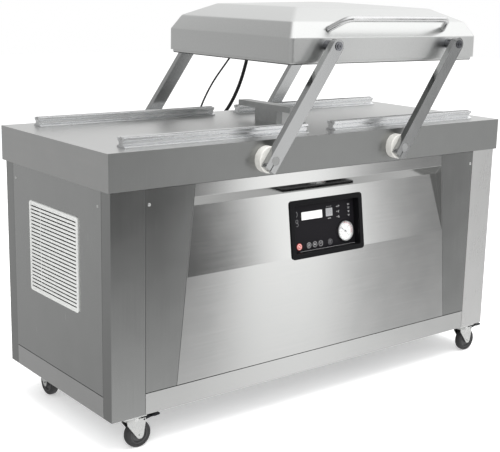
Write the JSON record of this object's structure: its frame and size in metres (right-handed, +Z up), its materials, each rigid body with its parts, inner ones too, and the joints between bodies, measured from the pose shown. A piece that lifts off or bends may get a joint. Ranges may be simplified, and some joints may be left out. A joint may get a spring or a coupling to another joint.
{
  "type": "double-chamber vacuum packing machine",
  "caption": "Floor-standing stainless vacuum packer on castors, with one swinging lid on parallel arms that seals either half of its work table.",
  "frame": {"origin": "on the floor, under the middle of the work table", "axes": "+X along the table's length, -Y towards the operator, +Z up"},
  "size_m": [1.48, 0.74, 1.1658],
  "materials": {
    "stainless": "brushed satin",
    "stainless_lid": "fine bead-blasted satin",
    "arm_steel": "ground flat bar",
    "painted_frame": "grey powder coat",
    "pump_paint": "hammer enamel",
    "grille_plastic": "moulded, light grey",
    "nylon": "turned nylon, off-white",
    "extruded_aluminium": "natural anodised",
    "silicone": "grey silicone",
    "black_rubber": "matte",
    "black_plastic": "moulded, semi-gloss",
    "keypad_film": "printed film",
    "key_red": "domed key",
    "key_dark": "domed key",
    "gauge_dial": "white enamel dial",
    "gauge_glass": "clear",
    "needle_black": "black lacquer",
    "dark_chrome": "polished",
    "zinc": "bright zinc plate",
    "tyre": "grey-black rubber",
    "cable_black": "smooth jacket",
    "transformer_iron": "lacquered laminations",
    "spring_steel": "oiled"
  },
  "bodies": {
    "cabinet": {"base_frame": "painted_frame", "corner_posts": "stainless", "bottom_rails": "stainless", "front_fascia": "stainless", "front_panel": "stainless", "left_side_panel": "stainless", "right_side_panel": "stainless", "rear_panel": "stainless", "vent_grilles": "grille_plastic", "floor_tray": "stainless", "table_top": "stainless", "lower_bars": "extruded_aluminium", "lower_bar_pads": "silicone", "suction_stand": "stainless", "pivot_flanges": "nylon", "control_bezel": "black_plastic", "keypad_plate": "keypad_film", "gauge_case": "gauge_dial", "gauge_lens": "gauge_glass", "panel_screws": "zinc", "vacuum_pump": "pump_paint", "pump_motor": "pump_paint", "sealing_transformers": "transformer_iron", "vacuum_valves": "black_plastic", "electrical_box": "painted_frame", "counterbalance_springs": "spring_steel", "rear_glands": "black_plastic", "castor_plates": "zinc"},
    "left_rocker": {"left_rocker_shaft": "arm_steel", "left_rocker_arms": "arm_steel"},
    "right_rocker": {"right_rocker_shaft": "arm_steel", "right_rocker_arms": "arm_steel"},
    "lid": {"lid_shell": "stainless_lid", "lid_gasket": "black_rubber", "lid_handle": "stainless", "lid_pivot_studs": "dark_chrome", "press_cylinders": "extruded_aluminium", "lid_glands": "black_plastic"},
    "front_heater": {"front_heater_bar": "extruded_aluminium"},
    "rear_heater": {"rear_heater_bar": "extruded_aluminium"},
    "power_cable": {"lid_power_cable": "cable_black", "power_cable_swivels": "black_plastic"},
    "air_hose": {"lid_air_hose": "cable_black", "air_hose_swivels": "black_plastic"},
    "needle": {"gauge_needle": "needle_black"},
    "key_stop": {"key_stop": "key_red"},
    "key_set": {"key_set": "key_dark"},
    "key_plus": {"key_plus": "key_dark"},
    "key_minus": {"key_minus": "key_dark"},
    "key_pump": {"key_pump": "key_dark"},
    "castor_front_left": {"fork_front_left": "zinc"},
    "roller_front_left": {"wheel_front_left": "tyre"},
    "castor_front_right": {"fork_front_right": "zinc"},
    "roller_front_right": {"wheel_front_right": "tyre"},
    "castor_rear_left": {"fork_rear_left": "zinc"},
    "roller_rear_left": {"wheel_rear_left": "tyre"},
    "castor_rear_right": {"fork_rear_right": "zinc"},
    "roller_rear_right": {"wheel_rear_right": "tyre"},
    "pedal_front_left": {"brake_pedal_front_left": "zinc"},
    "pedal_front_right": {"brake_pedal_front_right": "zinc"}
  },
  "joints": [
    {"name": "lid_swing", "type": "hinge", "parent": "cabinet", "child": "left_rocker", "pos_m": [-0.25, 0, 0.748], "axis": [0, 1, 0], "range_deg": [-108.82, 38.28]},
    {"name": "right_rocker_swing", "type": "hinge", "parent": "cabinet", "child": "right_rocker", "pos_m": [0.25, 0, 0.748], "axis": [0, 1, 0], "range_deg": [-109.82, 39.28]},
    {"name": "lid_level", "type": "hinge", "parent": "left_rocker", "child": "lid", "pos_m": [-0.03577, 0, 1.0509], "axis": [0, 1, 0], "range_deg": [-39.28, 109.82]},
    {"name": "power_cable_swing", "type": "hinge", "parent": "cabinet", "child": "power_cable", "pos_m": [0.008, 0.38, 0.738], "axis": [0, 1, 0], "range_deg": [-109.82, 39.28]},
    {"name": "air_hose_swing", "type": "hinge", "parent": "cabinet", "child": "air_hose", "pos_m": [-0.03, 0.36, 0.74], "axis": [0, 1, 0], "range_deg": [-109.82, 39.28]},
    {"name": "front_heater_press", "type": "slide", "parent": "lid", "child": "front_heater", "axis": [0, 0, -1], "range_m": [0, 0.007], "stiffness_N_per_m": 1500, "springref_m": -0.02},
    {"name": "rear_heater_press", "type": "slide", "parent": "lid", "child": "rear_heater", "axis": [0, 0, -1], "range_m": [0, 0.007], "stiffness_N_per_m": 1500, "springref_m": -0.02},
    {"name": "key_stop_press", "type": "slide", "parent": "cabinet", "child": "key_stop", "axis": [0, 0.9904, -0.1384], "range_m": [0, 0.0006], "stiffness_N_per_m": 800, "springref_m": -0.0005},
    {"name": "key_set_press", "type": "slide", "parent": "cabinet", "child": "key_set", "axis": [0, 0.9904, -0.1384], "range_m": [0, 0.0006], "stiffness_N_per_m": 800, "springref_m": -0.0005},
    {"name": "key_plus_press", "type": "slide", "parent": "cabinet", "child": "key_plus", "axis": [0, 0.9904, -0.1384], "range_m": [0, 0.0006], "stiffness_N_per_m": 800, "springref_m": -0.0005},
    {"name": "key_minus_press", "type": "slide", "parent": "cabinet", "child": "key_minus", "axis": [0, 0.9904, -0.1384], "range_m": [0, 0.0006], "stiffness_N_per_m": 800, "springref_m": -0.0005},
    {"name": "key_pump_press", "type": "slide", "parent": "cabinet", "child": "key_pump", "axis": [0, 0.9904, -0.1384], "range_m": [0, 0.0006], "stiffness_N_per_m": 800, "springref_m": -0.0005},
    {"name": "gauge_needle_turn", "type": "hinge", "parent": "cabinet", "child": "needle", "pos_m": [0.0905, -0.26829, 0.49678], "axis": [0, -0.9904, 0.1384], "range_deg": [-180, 90]},
    {"name": "swivel_front_left", "type": "hinge", "parent": "cabinet", "child": "castor_front_left", "pos_m": [-0.659, -0.268, 0.095], "axis": [0, 0, 1], "continuous": true},
    {"name": "roll_front_left", "type": "hinge", "parent": "castor_front_left", "child": "roller_front_left", "pos_m": [-0.639, -0.268, 0.0375], "axis": [0, 1, 0], "continuous": true},
    {"name": "brake_front_left", "type": "hinge", "parent": "castor_front_left", "child": "pedal_front_left", "pos_m": [-0.6265, -0.268, 0.079], "axis": [0, 1, 0], "range_deg": [0, 12], "stiffness_Nm_per_rad": 2, "springref_deg": -17.19},
    {"name": "swivel_front_right", "type": "hinge", "parent": "cabinet", "child": "castor_front_right", "pos_m": [0.659, -0.268, 0.095], "axis": [0, 0, 1], "continuous": true},
    {"name": "roll_front_right", "type": "hinge", "parent": "castor_front_right", "child": "roller_front_right", "pos_m": [0.679, -0.268, 0.0375], "axis": [0, 1, 0], "continuous": true},
    {"name": "brake_front_right", "type": "hinge", "parent": "castor_front_right", "child": "pedal_front_right", "pos_m": [0.6915, -0.268, 0.079], "axis": [0, 1, 0], "range_deg": [0, 12], "stiffness_Nm_per_rad": 2, "springref_deg": -17.19},
    {"name": "swivel_rear_left", "type": "hinge", "parent": "cabinet", "child": "castor_rear_left", "pos_m": [-0.659, 0.212, 0.095], "axis": [0, 0, 1], "continuous": true},
    {"name": "roll_rear_left", "type": "hinge", "parent": "castor_rear_left", "child": "roller_rear_left", "pos_m": [-0.659, 0.192, 0.0375], "axis": [1, 0, 0], "continuous": true},
    {"name": "swivel_rear_right", "type": "hinge", "parent": "cabinet", "child": "castor_rear_right", "pos_m": [0.659, 0.212, 0.095], "axis": [0, 0, 1], "continuous": true},
    {"name": "roll_rear_right", "type": "hinge", "parent": "castor_rear_right", "child": "roller_rear_right", "pos_m": [0.659, 0.192, 0.0375], "axis": [1, 0, 0], "continuous": true}
  ],
  "couplings": [
    {"joint": "right_rocker_swing", "follows": "lid_swing", "ratio": 1},
    {"joint": "lid_level", "follows": "lid_swing", "ratio": -1},
    {"joint": "power_cable_swing", "follows": "lid_swing", "ratio": 1},
    {"joint": "air_hose_swing", "follows": "lid_swing", "ratio": 1}
  ]
}
